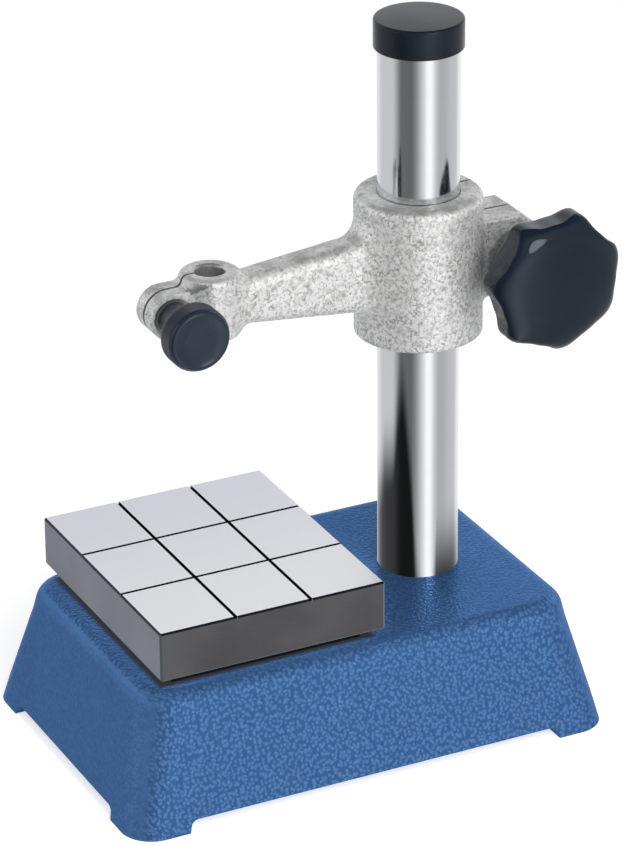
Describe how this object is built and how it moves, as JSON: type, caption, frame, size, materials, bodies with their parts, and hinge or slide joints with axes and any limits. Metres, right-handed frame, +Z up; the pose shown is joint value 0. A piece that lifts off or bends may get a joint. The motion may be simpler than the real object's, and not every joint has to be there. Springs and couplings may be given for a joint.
{
  "type": "comparator stand",
  "caption": "Gauge stand: cast base with a grooved measuring table and a round column, on which a split arm slides and swivels to hold a dial gauge by its stem.",
  "frame": {"origin": "on the floor, under the middle of the stand's bounding box", "axes": "+Z up along the column, +X from the table towards the column, -Y towards the front with the clamp knobs"},
  "size_m": [0.1512, 0.096, 0.1945],
  "materials": {
    "base_enamel": "blue hammered enamel",
    "lapped_steel": "lapped face, grey ground sides",
    "ground_steel": "polished",
    "black_steel": "black oxide",
    "bright_steel": "bright zinc",
    "black_satin": "satin",
    "arm_paint": "silver grey hammered paint, bores and lugs bare",
    "black_gloss": "gloss",
    "black_knurl": "satin face, knurled rim"
  },
  "bodies": {
    "stand": {"base": "base_enamel", "table": "lapped_steel", "table_screws": "black_steel", "table_screw_washers": "bright_steel", "column": "ground_steel", "column_screw": "black_steel", "column_washer": "bright_steel"},
    "cap": {"column_cap": "black_satin"},
    "arm": {"arm": "arm_paint"},
    "star_knob_seat": {"star_knob_washer": "bright_steel"},
    "star_knob": {"star_knob": "black_gloss", "star_knob_stud": "bright_steel"},
    "stem_knob_seat": {"stem_clamp_washer": "bright_steel"},
    "stem_knob": {"stem_clamp_knob": "black_knurl", "stem_clamp_screw": "bright_steel"}
  },
  "joints": [
    {"name": "arm_swivel", "type": "hinge", "parent": "stand", "child": "cap", "pos_m": [0.032, 0, 0.126], "axis": [0, 0, 1], "continuous": true},
    {"name": "arm_slide", "type": "slide", "parent": "cap", "child": "arm", "axis": [0, 0, 1], "range_m": [-0.05, 0.039]},
    {"name": "star_knob_travel", "type": "slide", "parent": "arm", "child": "star_knob_seat", "axis": [0, -1, 0], "range_m": [0, 0.00125]},
    {"name": "star_knob_turn", "type": "hinge", "parent": "star_knob_seat", "child": "star_knob", "pos_m": [0.05715, 0, 0.126], "axis": [0, -1, 0], "range_deg": [0, 360]},
    {"name": "stem_knob_travel", "type": "slide", "parent": "arm", "child": "stem_knob_seat", "axis": [0, -1, 0], "range_m": [0, 0.0008]},
    {"name": "stem_knob_turn", "type": "hinge", "parent": "stem_knob_seat", "child": "stem_knob", "pos_m": [-0.0416, 0, 0.126], "axis": [0, -1, 0], "range_deg": [0, 360]}
  ],
  "couplings": [
    {"joint": "star_knob_turn", "follows": "star_knob_travel", "rad_per_m": 5026.5},
    {"joint": "stem_knob_turn", "follows": "stem_knob_travel", "rad_per_m": 7853.9}
  ]
}
